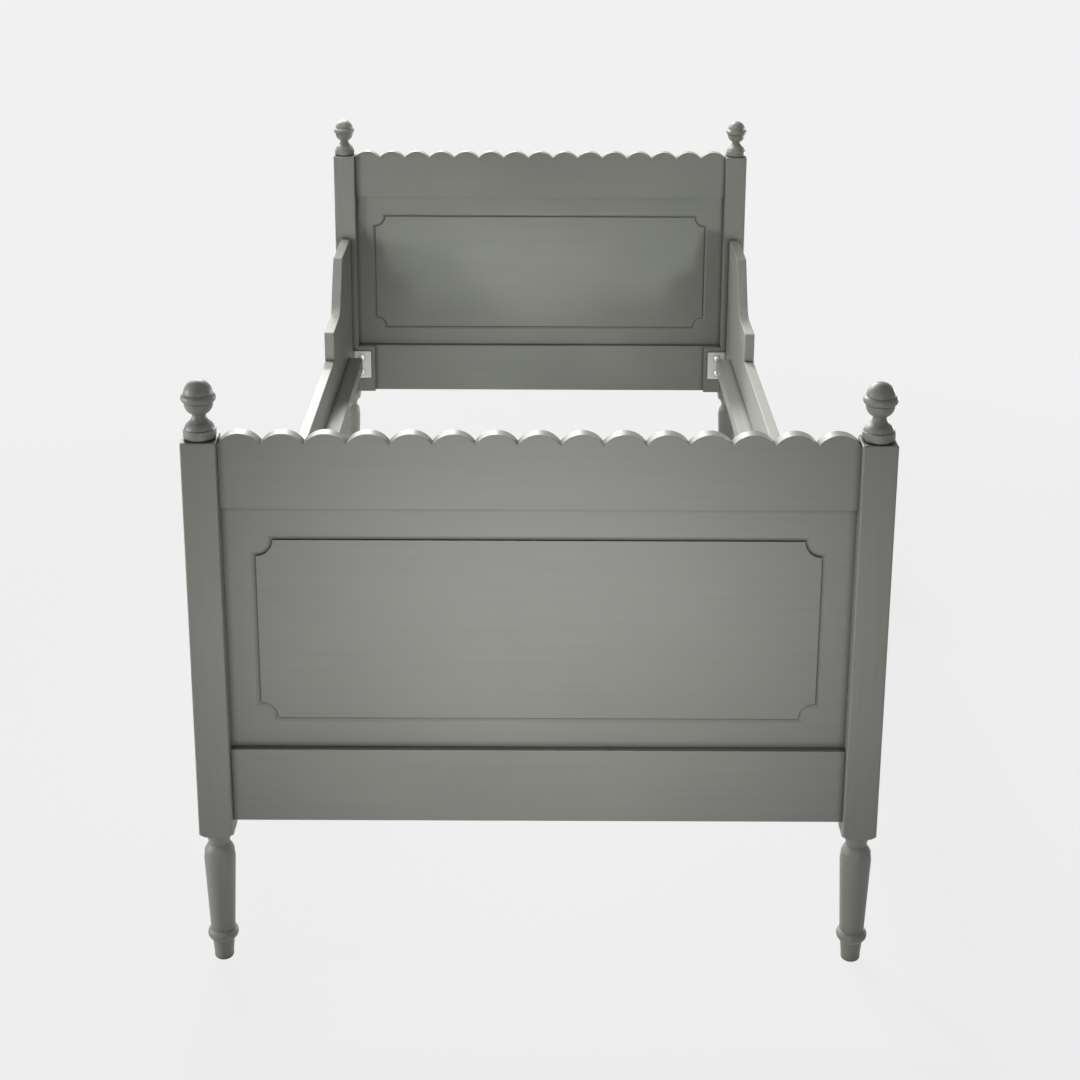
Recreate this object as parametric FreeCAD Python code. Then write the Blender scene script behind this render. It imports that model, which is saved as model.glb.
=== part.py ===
import FreeCAD
import Part
import math
import os
from FreeCAD import Vector

# A single bed of painted wood.
# Two equal panelled ends stand on turned feet, each with a scalloped top rail between
# square posts with finials. Side rails with a shaped wing at the head join the ends,
# and a ledger along each side rail carries the mattress base.
# Left is -X, the foot end is -Y, up is +Z, and the origin is on the floor at the middle.

# Whole bed
overall_width = 1000.0
overall_length = 2110.0
post_height = 833.0

# Posts
post_side = 50.0
post_edge_round = 2.5
post_top_round = 1.2

# Turned foot of a post, from the floor up
toe_tip_radius = 10.0
toe_round_height = 7.5
toe_round_radius = 14.3
toe_radius = 16.6
toe_height = 34.0
toe_round_bow = 1.9
ring_radius = 22.9
ring_height = 18.0
ankle_radius = 18.2
taper_length = 117.5
swell_radius = 23.3
swell_height = 13.1
swell_bow = 0.5
lip_depth = 0.8
lip_height = 1.4
shoulder_radius = 22.3
shoulder_height = 11.5
shoulder_bow = 0.8
neck_radius = 15.4
cove_height = 21.5
cove_bow = 1.8
pommel_inner_radius = 24.0
pommel_flat_radius = 29.5
pommel_outer_radius = 37.0
pommel_height = 7.5
pommel_bow = 0.6

# Finials, from the post's top up
finial_disc_radius = 23.3
finial_disc_height = 15.0
finial_disc_under_round = 4.0
finial_disc_top_round = 1.5
finial_flare_radius = 21.3
finial_flare_height = 19.0
finial_flare_middle_radius = 15.0
finial_flare_bow = 1.1
finial_neck_radius = 9.7
finial_neck_height = 2.0
finial_bowl_radius = 20.5
finial_bowl_height = 17.2
finial_bowl_bow = 3.2
finial_bowl_rim = 1.3
finial_bead_radius = 24.6
finial_bead_height = 12.6
finial_dome_height = 20.0
finial_dowel_radius = 5.0
finial_dowel_in_finial = 22.0
finial_dowel_in_post = 26.0

# Boards of the ends
end_board_thickness = 22.0
bottom_rail_low = 238.0
bottom_rail_height = 116.0
top_rail_drop = 6.0
top_rail_height = 95.5
scallop_count = 15
scallop_rise = 16.0
tenon_length = 30.0
tenon_thickness = 10.0
tenon_inset = 11.0
top_tenon_upper_inset = 36.0

# Panels of the ends
panel_thickness = 8.0
panel_recess = 12.0
groove_depth = 8.0
panel_slack = 0.6
field_side_margin = 46.0
field_top_margin = 52.5
field_bottom_margin = 46.5
field_cut_depth = 3.0
field_cut_width = 6.5
notch_radius = 24.5

# Side rails and wings
side_board_thickness = 22.0
side_rail_low = 238.0
side_rail_height = 207.0
side_edge_round = 2.0
wing_length = 413.0
wing_top_length = 190.0
wing_height = 184.0
wing_step_height = 66.0
wing_sweep_run = 79.0
wing_sweep_radius = 50.0
wing_shoulder_radius = 9.0
wing_nose_radius = 6.0
wing_dowel_count = 3
wing_dowel_first = 60.0
wing_dowel_pitch = 140.0

# Ledgers under the mattress base
ledger_width = 33.0
ledger_height = 32.0
ledger_drop = 89.0
ledger_end_gap = 104.0
ledger_edge_round = 1.5
ledger_screw_count = 8
ledger_screw_end = 70.0

# Corner blocks and brackets
corner_block_width = 40.0
corner_block_round = 1.5
bracket_plate_width = 45.0
bracket_plate_height = 69.0
bracket_thickness = 3.0
bracket_drop = 102.5
bracket_corner_round = 2.5
bracket_arm_length = 62.0
bracket_arm_height = 22.0
bracket_bolt_offset = 22.0
bracket_bolt_edge = 16.0
bracket_screw_first = 22.0
bracket_screw_pitch = 26.0

# Fasteners
dowel_radius = 4.0
dowel_length = 32.0
dowel_chamfer = 1.0
rail_dowel_drop = 42.0
rail_dowel_pitch = 76.0
bolt_radius = 3.0
bolt_length = 29.0
bolt_head_radius = 7.2
bolt_head_height = 4.6
bolt_socket_radius = 2.3
bolt_socket_depth = 2.0
screw_radius = 2.5
screw_head_radius = 4.6
screw_head_height = 2.8
ledger_screw_length = 47.0
bracket_screw_length = 19.0

# Clearances
fit_clearance = 0.1
end_clearance = 1.0
overrun = 5.0

# An edge runs along an axis when this share of its length does
straight_share = 0.999

# Bow of a quarter round, as a share of its radius
quarter_bow = 1 - math.sqrt(2) / 2

# Places worked out from the sizes above
half_width = overall_width / 2
half_length = overall_length / 2
inner_half_width = half_width - post_side
post_axis_x = -half_width + post_side / 2
foot_face = -half_length
head_face = half_length - post_side
board_front = (post_side - end_board_thickness) / 2
board_back = board_front + end_board_thickness
panel_front = board_front + panel_recess
panel_back = panel_front + panel_thickness
bottom_rail_top = bottom_rail_low + bottom_rail_height
valley_height = post_height - top_rail_drop
top_rail_low = valley_height - top_rail_height
side_rail_outer = -half_width + (post_side - side_board_thickness) / 2
side_rail_inner = side_rail_outer + side_board_thickness
side_rail_top = side_rail_low + side_rail_height
side_rail_length = overall_length - post_side - post_side
ledger_top = side_rail_top - ledger_drop
ledger_low = ledger_top - ledger_height
ledger_inner = side_rail_inner + ledger_width
ledger_length = side_rail_length - ledger_end_gap - ledger_end_gap
bracket_top = side_rail_top - bracket_drop
bracket_low = bracket_top - bracket_plate_height
corner_face = foot_face + post_side

left = -1
right = 1
sides = {"left": left, "right": right}
ends = {"foot": foot_face, "head": head_face}


# Shared shapes


def block(x_low, x_high, y_low, y_high, z_low, z_high):
    """Box between two corners."""
    corner = Vector(x_low, y_low, z_low)
    return Part.makeBox(x_high - x_low, y_high - y_low, z_high - z_low, corner)


def rod(radius, length, start, direction):
    """Round bar from a start point along a direction."""
    return Part.makeCylinder(radius, length, start, direction)


def bowed(start, end, bow):
    """Arc in the XZ plane whose middle stands off its chord by a bow, to the right of its way."""
    chord = end - start
    side = Vector(chord.z, 0, -chord.x)
    side.normalize()
    middle = (start + end) / 2 + side * bow
    return Part.Arc(start, middle, end).toShape()


def line(start, end):
    """Straight edge."""
    return Part.LineSegment(start, end).toShape()


def turned(edges):
    """Solid of revolution about Z of a closed profile in the XZ plane."""
    profile = Part.Face(Part.Wire(edges))
    return profile.revolve(Vector(0, 0, 0), Vector(0, 0, 1), 360)


def along(shape, axis_name):
    """Straight edges of a shape that run along one axis."""
    found = []
    for edge in shape.Edges:
        way = edge.Vertexes[-1].Point - edge.Vertexes[0].Point
        if way.Length > 0 and abs(getattr(way, axis_name)) > way.Length * straight_share:
            found.append(edge)
    return found


def mirrored(shape, side):
    """Shape for the left side, or its mirror image for the right side."""
    if side == left:
        return shape.copy()
    return shape.mirror(Vector(0, 0, 0), Vector(1, 0, 0))


def at_end(shape, end):
    """Shape made for the foot end, or its mirror image for the head end."""
    if end == "foot":
        return shape.copy()
    return shape.mirror(Vector(0, 0, 0), Vector(0, 1, 0))


def save(name, shape):
    """Write one piece to its own file."""
    solid = shape.Solids[0] if len(shape.Solids) == 1 else Part.makeCompound(shape.Solids)
    solid.exportStep(os.path.join("parts", name + ".step"))
    print(name, len(shape.Solids), "solid", round(shape.Volume), "mm3", shape.isValid())


# Posts


def foot_profile():
    """Profile of the turned foot up to the under side of the pommel."""
    ring_low = toe_height
    ring_top = ring_low + ring_height
    swell_low = ring_top + taper_length
    swell_top = swell_low + swell_height
    shoulder_low = swell_top + lip_height
    neck = shoulder_low + shoulder_height
    cove_top = neck + cove_height
    axis_low = Vector(0, 0, 0)
    tip = Vector(toe_tip_radius, 0, 0)
    toe_side = Vector(toe_round_radius, 0, toe_round_height)
    toe_top = Vector(toe_radius, 0, ring_low)
    ankle = Vector(ankle_radius, 0, ring_top)
    ring_side = Vector(ring_radius, 0, (ring_low + ring_top) / 2)
    swell = Vector(swell_radius, 0, swell_low)
    lip = Vector(shoulder_radius - lip_depth, 0, swell_top)
    shoulder = Vector(shoulder_radius, 0, shoulder_low)
    waist = Vector(neck_radius, 0, neck)
    pommel = Vector(pommel_inner_radius, 0, cove_top)
    axis_top = Vector(0, 0, cove_top)
    edges = [
        line(axis_low, tip),
        bowed(tip, toe_side, toe_round_bow),
        line(toe_side, toe_top),
        Part.Arc(toe_top, ring_side, ankle).toShape(),
        line(ankle, swell),
        bowed(swell, lip, swell_bow),
        line(lip, shoulder),
        bowed(shoulder, waist, shoulder_bow),
        bowed(waist, pommel, -cove_bow),
        line(pommel, axis_top),
        line(axis_top, axis_low),
    ]
    return edges, cove_top


def post_body():
    """Left post on its own axis: a square block with a lathe-cut lower end over a turned foot."""
    edges, cove_top = foot_profile()
    foot = turned(edges)
    half = post_side / 2
    square = block(-half, half, -half, half, cove_top, post_height)
    square = square.makeFillet(post_edge_round, along(square, "z"))
    rim = [edge for edge in square.Edges if edge.BoundBox.ZMin > post_height - post_top_round / 2]
    square = square.makeChamfer(post_top_round, rim)
    flat = Vector(pommel_flat_radius, 0, cove_top)
    outer = Vector(pommel_outer_radius, 0, cove_top + pommel_height)
    above = Vector(pommel_outer_radius, 0, post_height + overrun)
    axis_top = Vector(0, 0, post_height + overrun)
    axis_low = Vector(0, 0, cove_top)
    envelope = turned([
        line(axis_low, flat),
        bowed(flat, outer, pommel_bow),
        line(outer, above),
        line(above, axis_top),
        line(axis_top, axis_low),
    ])
    return square.common(envelope).fuse(foot).removeSplitter()


def tenon_box(z_low, z_high, clearance):
    """Tenon at the left end of a rail, in the end's own frame, or its mortise with a clearance."""
    middle = post_side / 2
    half = tenon_thickness / 2 + clearance
    deep = end_clearance if clearance > 0 else 0
    x_low = -inner_half_width - tenon_length - deep
    return block(
        x_low, -inner_half_width, middle - half, middle + half, z_low - clearance, z_high + clearance
    )


def bottom_tenon(clearance):
    """Tenon or mortise of the bottom rail."""
    return tenon_box(bottom_rail_low + tenon_inset, bottom_rail_top - tenon_inset, clearance)


def top_tenon(clearance):
    """Tenon or mortise of the top rail."""
    return tenon_box(top_rail_low + tenon_inset, valley_height - top_tenon_upper_inset, clearance)


def rail_dowel_heights():
    """Heights of the two dowels in each end of a side rail."""
    upper = side_rail_top - rail_dowel_drop
    return [upper, upper - rail_dowel_pitch]


def post(end, side):
    """Post with its mortises, its panel groove and the holes for dowels."""
    body = post_body()
    body.translate(Vector(post_axis_x, post_side / 2, 0))
    body = body.cut(bottom_tenon(fit_clearance))
    body = body.cut(top_tenon(fit_clearance))
    groove_low = bottom_rail_top - tenon_inset
    groove_high = top_rail_low + tenon_inset
    body = body.cut(block(
        -inner_half_width - groove_depth, -inner_half_width + overrun,
        panel_front - fit_clearance, panel_back + fit_clearance, groove_low, groove_high,
    ))
    hole_depth = dowel_length / 2 + end_clearance
    bed_face = post_side if end == "foot" else 0
    into_post = Vector(0, -1, 0) if end == "foot" else Vector(0, 1, 0)
    for height in rail_dowel_heights():
        start = Vector(post_axis_x, bed_face, height)
        body = body.cut(rod(dowel_radius + fit_clearance, hole_depth, start, into_post))
    top = Vector(post_axis_x, post_side / 2, post_height)
    depth = finial_dowel_in_post + end_clearance
    body = body.cut(rod(finial_dowel_radius + fit_clearance, depth, top, Vector(0, 0, -1)))
    body.translate(Vector(0, ends[end], 0))
    return mirrored(body, side)


# Finials


def finial_body():
    """Finial on its own axis, base at zero: disc, flare, neck, bowl, bead and domed top."""
    flare_low = finial_disc_height
    neck_low = flare_low + finial_flare_height
    bowl_low = neck_low + finial_neck_height
    bead_low = bowl_low + finial_bowl_height
    bead_top = bead_low + finial_bead_height
    top = bead_top + finial_dome_height
    base = Vector(0, 0, 0)
    disc_low = Vector(finial_disc_radius - finial_disc_under_round, 0, 0)
    disc_side = Vector(finial_disc_radius, 0, finial_disc_under_round)
    disc_rim = Vector(finial_disc_radius, 0, flare_low - finial_disc_top_round)
    disc_top = Vector(finial_disc_radius - finial_disc_top_round, 0, flare_low)
    flare = Vector(finial_flare_radius, 0, flare_low)
    flare_middle = Vector(finial_flare_middle_radius, 0, (flare_low + neck_low) / 2)
    waist = Vector(finial_neck_radius, 0, neck_low)
    neck = Vector(finial_neck_radius, 0, bowl_low)
    bowl = Vector(finial_bowl_radius, 0, bead_low)
    bead_foot = Vector(finial_bowl_radius - finial_bowl_rim, 0, bead_low)
    bead_side = Vector(finial_bead_radius, 0, (bead_low + bead_top) / 2)
    dome = Vector(finial_bowl_radius, 0, bead_top)
    crown = Vector(0, 0, top)
    dome_radius = (finial_bowl_radius ** 2 + finial_dome_height ** 2) / (2 * finial_dome_height)
    dome_middle = math.atan2(finial_dome_height, finial_bowl_radius)
    on_dome = Vector(
        dome_radius * math.cos(dome_middle), 0, top - dome_radius + dome_radius * math.sin(dome_middle)
    )
    body = turned([
        line(base, disc_low),
        bowed(disc_low, disc_side, finial_disc_under_round * quarter_bow),
        line(disc_side, disc_rim),
        bowed(disc_rim, disc_top, finial_disc_top_round * quarter_bow),
        line(disc_top, flare),
        bowed(flare, flare_middle, finial_flare_bow),
        bowed(flare_middle, waist, -finial_flare_bow),
        line(waist, neck),
        bowed(neck, bowl, finial_bowl_bow),
        line(bowl, bead_foot),
        Part.Arc(bead_foot, bead_side, dome).toShape(),
        Part.Arc(dome, on_dome, crown).toShape(),
        line(crown, base),
    ])
    hole = rod(
        finial_dowel_radius + fit_clearance, finial_dowel_in_finial + end_clearance,
        Vector(0, 0, 0), Vector(0, 0, 1),
    )
    return body.cut(hole)


def finial(end, side):
    """Finial seated on a post's top."""
    body = finial_body()
    body.translate(Vector(post_axis_x, ends[end] + post_side / 2, post_height))
    return mirrored(body, side)


def dowel(radius, length, start, direction):
    """Wooden dowel with chamfered ends."""
    pin = rod(radius, length, start, direction)
    rims = [edge for edge in pin.Edges if edge.Closed and edge.Length > radius]
    return pin.makeChamfer(dowel_chamfer, rims)


def finial_dowels():
    """The four dowels that hold the finials on their posts."""
    pins = []
    length = finial_dowel_in_post + finial_dowel_in_finial
    for face in ends.values():
        for side in sides.values():
            low = post_height - finial_dowel_in_post
            start = Vector(post_axis_x * -side, face + post_side / 2, low)
            pins.append(dowel(finial_dowel_radius, length, start, Vector(0, 0, 1)))
    return Part.makeCompound(pins)


# Rails and panels of the ends


def panel_groove(z_low, z_high):
    """Groove in a rail's edge for the panel."""
    return block(
        -inner_half_width, inner_half_width,
        panel_front - fit_clearance, panel_back + fit_clearance, z_low, z_high,
    )


def bottom_rail(end):
    """Plain bottom rail with its tenons and its panel groove."""
    rail = block(
        -inner_half_width, inner_half_width, board_front, board_back, bottom_rail_low, bottom_rail_top
    )
    rail = rail.cut(panel_groove(bottom_rail_top - groove_depth, bottom_rail_top + overrun))
    for side in sides.values():
        rail = rail.fuse(mirrored(bottom_tenon(0), side))
    if end == "foot":
        back = board_back
        into_rail = Vector(0, -1, 0)
    else:
        back = board_front
        into_rail = Vector(0, 1, 0)
    depth = bolt_length - bracket_thickness - (post_side - board_back) + end_clearance
    for side in sides.values():
        for height in bolt_heights():
            start = Vector(bolt_x() * -side, back, height)
            rail = rail.cut(rod(bolt_radius + fit_clearance, depth, start, into_rail))
    rail = rail.removeSplitter()
    rail.translate(Vector(0, ends[end], 0))
    return rail


def scallop_edges():
    """Scalloped upper outline of the top rail, from left to right, one arc per scallop."""
    pitch = 2 * inner_half_width / scallop_count
    edges = []
    for index in range(scallop_count):
        low = Vector(-inner_half_width + index * pitch, board_front, valley_height)
        high = Vector(low.x + pitch, board_front, valley_height)
        peak = Vector(low.x + pitch / 2, board_front, valley_height + scallop_rise)
        edges.append(Part.Arc(low, peak, high).toShape())
    return edges


def top_rail(end):
    """Scalloped top rail with its tenons and its panel groove."""
    left_low = Vector(-inner_half_width, board_front, top_rail_low)
    left_high = Vector(-inner_half_width, board_front, valley_height)
    right_low = Vector(inner_half_width, board_front, top_rail_low)
    right_high = Vector(inner_half_width, board_front, valley_height)
    outline = [line(left_low, left_high)] + scallop_edges()
    outline += [line(right_high, right_low), line(right_low, left_low)]
    face = Part.Face(Part.Wire(outline))
    rail = face.extrude(Vector(0, end_board_thickness, 0))
    rail = rail.cut(panel_groove(top_rail_low - overrun, top_rail_low + groove_depth))
    for side in sides.values():
        rail = rail.fuse(mirrored(top_tenon(0), side))
    rail = rail.removeSplitter()
    rail.translate(Vector(0, ends[end], 0))
    return rail


def field_corner(x_sign, z_sign, half_run, half_rise, inset):
    """Notched corner of the field: the start, middle and end of its hollow arc."""
    reach = notch_radius + inset
    diagonal = reach * math.sqrt(2) / 2
    places = [(reach, inset), (diagonal, diagonal), (inset, reach)]
    return [(x_sign * (half_run - across), z_sign * (half_rise - down)) for across, down in places]


def field_wire(inset, y, z_middle, half_run, half_rise):
    """Closed outline of the field at a depth, drawn in from its edge by an inset."""
    turns = [(-1, 1, True), (1, 1, False), (1, -1, True), (-1, -1, False)]
    corners = []
    for x_sign, z_sign, backward in turns:
        corner = field_corner(x_sign, z_sign, half_run, half_rise, inset)
        if backward:
            corner = corner[::-1]
        corners.append([Vector(x, y, z_middle + z) for x, z in corner])
    edges = []
    for index, (start, middle, end) in enumerate(corners):
        edges.append(Part.Arc(start, middle, end).toShape())
        edges.append(line(end, corners[(index + 1) % len(corners)][0]))
    return Part.Wire(edges)


def field_cut():
    """Cut round the field: it slopes down to the field's upright edge, whose corners are notched."""
    field_low = bottom_rail_top + field_bottom_margin
    field_high = top_rail_low - field_top_margin
    half_run = inner_half_width - field_side_margin
    half_rise = (field_high - field_low) / 2
    z_middle = (field_high + field_low) / 2
    outer = field_wire(-2 * field_cut_width, panel_front - field_cut_depth, z_middle, half_run, half_rise)
    foot = field_wire(0, panel_front + field_cut_depth, z_middle, half_run, half_rise)
    near = field_wire(0, panel_front - panel_thickness, z_middle, half_run, half_rise)
    far = field_wire(0, panel_back, z_middle, half_run, half_rise)
    slope = Part.makeLoft([outer, foot], True, True)
    return slope.cut(Part.makeLoft([near, far], True, True))


def panel(end):
    """Panel held in the grooves, with a flat field set off by the cut round it."""
    tongue = groove_depth - panel_slack
    body = block(
        -inner_half_width - tongue, inner_half_width + tongue, panel_front, panel_back,
        bottom_rail_top - tongue, top_rail_low + tongue,
    )
    body = body.cut(field_cut())
    body.translate(Vector(0, ends[end], 0))
    return body


# Side rails, wings and ledgers


def side_rail(side):
    """Side rail between the posts, with a rounded top edge clear of the wing."""
    start = foot_face + post_side
    stop = head_face
    nose = stop - wing_length
    free = block(side_rail_outer, side_rail_inner, start, nose, side_rail_low, side_rail_top)
    edges = [edge for edge in along(free, "y") if edge.BoundBox.ZMin > side_rail_low + side_edge_round]
    free = free.makeFillet(side_edge_round, edges)
    under = block(side_rail_outer, side_rail_inner, nose, stop, side_rail_low, side_rail_top)
    rail = free.fuse(under).removeSplitter()
    hole_depth = dowel_length / 2 + end_clearance
    for height in rail_dowel_heights():
        for place, way in ((start, Vector(0, 1, 0)), (stop, Vector(0, -1, 0))):
            mouth = Vector(post_axis_x, place, height)
            rail = rail.cut(rod(dowel_radius + fit_clearance, hole_depth, mouth, way))
    for place in wing_dowel_places():
        top = Vector(post_axis_x, place, side_rail_top)
        rail = rail.cut(rod(dowel_radius + fit_clearance, hole_depth, top, Vector(0, 0, -1)))
    depth = ledger_screw_length - ledger_width + end_clearance
    for place in ledger_screw_places():
        start_point = Vector(side_rail_inner, place, (ledger_top + ledger_low) / 2)
        rail = rail.cut(rod(screw_radius + fit_clearance, depth, start_point, Vector(-1, 0, 0)))
    depth = bracket_screw_length - bracket_thickness + end_clearance
    for place in bracket_screw_places():
        for y in (place, -place):
            start_point = Vector(side_rail_inner, y, bracket_screw_height())
            rail = rail.cut(rod(screw_radius + fit_clearance, depth, start_point, Vector(-1, 0, 0)))
    return mirrored(rail, side)


def wing_outline():
    """Outline of a wing on the YZ plane: high at the post, swept down to a low step and nose."""
    back = head_face
    low = side_rail_top
    step_z = low + wing_step_height
    top_z = low + wing_height
    sweep_foot = wing_top_length + wing_sweep_run
    slope = math.atan2(wing_height - wing_step_height, wing_sweep_run)
    foot_cut = wing_sweep_radius * math.tan(slope / 2)
    top_cut = wing_shoulder_radius * math.tan(slope / 2)
    nose_cut = wing_nose_radius

    def at(run, height):
        """Point at a run from the post and a height."""
        return Vector(0, back - run, height)

    top_corner = at(wing_top_length, top_z)
    foot_corner = at(sweep_foot, step_z)
    nose_corner = at(wing_length, step_z)
    down = (foot_corner - top_corner).normalize()
    out = Vector(0, -1, 0)
    drop = Vector(0, 0, -1)
    top_in = top_corner - out * top_cut
    top_out = top_corner + down * top_cut
    foot_in = foot_corner - down * foot_cut
    foot_out = foot_corner + out * foot_cut
    nose_in = nose_corner - out * nose_cut
    nose_out = nose_corner + drop * nose_cut
    first = at(0, low)
    last = at(wing_length, low)
    edges = [
        line(first, at(0, top_z)),
        line(at(0, top_z), top_in),
        corner_arc(top_in, top_corner, top_out, wing_shoulder_radius),
        line(top_out, foot_in),
        corner_arc(foot_in, foot_corner, foot_out, wing_sweep_radius),
        line(foot_out, nose_in),
        corner_arc(nose_in, nose_corner, nose_out, wing_nose_radius),
        line(nose_out, last),
        line(last, first),
    ]
    return Part.Wire(edges)


def corner_arc(start, corner, end, radius):
    """Arc of a radius that rounds a corner between two tangent points."""
    bisector = ((start + end) / 2 - corner).normalize()
    half_turn = math.acos(max(-1, min(1, (start - corner).normalize().dot(bisector))))
    reach = radius / math.sin(half_turn)
    middle = corner + bisector * (reach - radius)
    return Part.Arc(start, middle, end).toShape()


def wing_dowel_places():
    """Places along Y of the dowels between a wing and its rail."""
    return [head_face - wing_dowel_first - index * wing_dowel_pitch for index in range(wing_dowel_count)]


def wing(side):
    """Shaped wing on the side rail at the head post."""
    face = Part.Face(wing_outline())
    body = face.extrude(Vector(side_board_thickness, 0, 0))
    body.translate(Vector(side_rail_outer, 0, 0))
    free = []
    for edge in body.Edges:
        box = edge.BoundBox
        on_face = box.XLength < side_edge_round / 2
        off_rail = box.ZMax > side_rail_top + side_edge_round
        off_post = box.YMin < head_face - side_edge_round
        if on_face and off_rail and off_post:
            free.append(edge)
    body = body.makeFillet(side_edge_round, free)
    depth = dowel_length / 2 + end_clearance
    for place in wing_dowel_places():
        start = Vector(post_axis_x, place, side_rail_top)
        body = body.cut(rod(dowel_radius + fit_clearance, depth, start, Vector(0, 0, 1)))
    return mirrored(body, side)


def wing_dowels():
    """Upright dowels between the wings and the side rails."""
    pins = []
    low = side_rail_top - dowel_length / 2
    for side in sides.values():
        for place in wing_dowel_places():
            start = Vector(post_axis_x * -side, place, low)
            pins.append(dowel(dowel_radius, dowel_length, start, Vector(0, 0, 1)))
    return Part.makeCompound(pins)


def rail_dowels():
    """Dowels between the side rails and the posts."""
    pins = []
    for side in sides.values():
        for height in rail_dowel_heights():
            for joint in (foot_face + post_side, head_face):
                start = Vector(post_axis_x * -side, joint - dowel_length / 2, height)
                pins.append(dowel(dowel_radius, dowel_length, start, Vector(0, 1, 0)))
    return Part.makeCompound(pins)


def ledger_screw_places():
    """Places along Y of the screws through a ledger."""
    span = ledger_length - ledger_screw_end - ledger_screw_end
    pitch = span / (ledger_screw_count - 1)
    return [-span / 2 + index * pitch for index in range(ledger_screw_count)]


def screw(length, head_at, direction):
    """Countersunk screw whose head's flat lies at a point, pointing along a direction."""
    cone = Part.makeCone(screw_head_radius, screw_radius, screw_head_height, head_at, direction)
    shank = rod(screw_radius, length, head_at, direction)
    return cone.fuse(shank).removeSplitter()


def screw_hole(length, head_at, direction):
    """Clearance hole for a countersunk screw."""
    gap = fit_clearance
    cone = Part.makeCone(
        screw_head_radius + gap, screw_radius + gap, screw_head_height, head_at, direction
    )
    return cone.fuse(rod(screw_radius + gap, length, head_at, direction))


def ledger(side):
    """Ledger along the inner face of a side rail."""
    half = ledger_length / 2
    body = block(side_rail_inner, ledger_inner, -half, half, ledger_low, ledger_top)
    edges = [edge for edge in along(body, "y") if edge.BoundBox.XMin > side_rail_inner + ledger_edge_round]
    body = body.makeFillet(ledger_edge_round, edges)
    for place in ledger_screw_places():
        head_at = Vector(ledger_inner, place, (ledger_top + ledger_low) / 2)
        body = body.cut(screw_hole(ledger_width + overrun, head_at, Vector(-1, 0, 0)))
    return mirrored(body, side)


def ledger_screws():
    """Screws that hold both ledgers to their rails."""
    pieces = []
    for side in sides.values():
        for place in ledger_screw_places():
            head_at = Vector(ledger_inner * -side, place, (ledger_top + ledger_low) / 2)
            pieces.append(screw(ledger_screw_length, head_at, Vector(side, 0, 0)))
    return Part.makeCompound(pieces)


# Corner blocks, brackets and their fasteners


def bolt_x():
    """Place across of the bracket's bolts on the left side."""
    return side_rail_inner + bracket_bolt_offset


def bolt_heights():
    """Heights of the two bolts of a bracket."""
    return [bracket_low + bracket_bolt_edge, bracket_top - bracket_bolt_edge]


def bracket_screw_height():
    """Height of the screws in a bracket's arm."""
    return bracket_low + bracket_arm_height / 2


def bracket_screw_places():
    """Places along Y of the screws in the arm of a bracket at the foot end."""
    return [corner_face + bracket_screw_first, corner_face + bracket_screw_first + bracket_screw_pitch]


def corner_block(end, side):
    """Block in the corner between a post and the bottom rail, flush with the post."""
    x_low = -inner_half_width
    y_low = foot_face + board_back
    body = block(x_low, x_low + corner_block_width, y_low, corner_face, bottom_rail_low, bottom_rail_top)
    edges = [
        edge for edge in along(body, "z")
        if edge.BoundBox.XMin > x_low + corner_block_round and edge.BoundBox.YMin > y_low + corner_block_round
    ]
    body = body.makeFillet(corner_block_round, edges)
    for height in bolt_heights():
        start = Vector(bolt_x(), corner_face + overrun, height)
        body = body.cut(rod(bolt_radius + fit_clearance, post_side, start, Vector(0, -1, 0)))
    return mirrored(at_end(body, end), side)


def bracket(end, side):
    """Steel angle bracket: a plate on the corner block and post, and an arm along the side rail."""
    x_low = side_rail_inner
    y_low = corner_face
    plate = block(
        x_low, x_low + bracket_plate_width, y_low, y_low + bracket_thickness, bracket_low, bracket_top
    )
    corners = [edge for edge in along(plate, "y") if edge.BoundBox.XMin > x_low + bracket_thickness]
    plate = plate.makeFillet(bracket_corner_round, corners)
    arm = block(
        x_low, x_low + bracket_thickness, y_low, y_low + bracket_arm_length,
        bracket_low, bracket_low + bracket_arm_height,
    )
    tips = [edge for edge in along(arm, "x") if edge.BoundBox.YMin > y_low + bracket_thickness]
    arm = arm.makeFillet(bracket_corner_round, tips)
    body = plate.fuse(arm).removeSplitter()
    for height in bolt_heights():
        start = Vector(bolt_x(), y_low - overrun, height)
        body = body.cut(rod(bolt_radius + fit_clearance, post_side, start, Vector(0, 1, 0)))
    for place in bracket_screw_places():
        head_at = Vector(x_low + bracket_thickness, place, bracket_screw_height())
        body = body.cut(screw_hole(bracket_thickness + overrun, head_at, Vector(-1, 0, 0)))
    return mirrored(at_end(body, end), side)


def bolt(height):
    """Round-head bolt of the foot end's left bracket, with a socket in its head."""
    seat = corner_face + bracket_thickness
    radius = (bolt_head_radius ** 2 + bolt_head_height ** 2) / (2 * bolt_head_height)
    centre = Vector(bolt_x(), seat + bolt_head_height - radius, height)
    head = Part.makeSphere(radius, centre)
    head = head.common(rod(radius, radius, Vector(bolt_x(), seat, height), Vector(0, 1, 0)))
    shank = rod(bolt_radius, bolt_length, Vector(bolt_x(), seat, height), Vector(0, -1, 0))
    socket = rod(
        bolt_socket_radius, bolt_socket_depth + overrun,
        Vector(bolt_x(), seat + bolt_head_height - bolt_socket_depth, height), Vector(0, 1, 0),
    )
    return head.fuse(shank).cut(socket).removeSplitter()


def bracket_bolts():
    """All bolts that hold the brackets to the corner blocks and bottom rails."""
    pieces = []
    for end in ends:
        for side in sides.values():
            for height in bolt_heights():
                pieces.append(mirrored(at_end(bolt(height), end), side))
    return Part.makeCompound(pieces)


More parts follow.
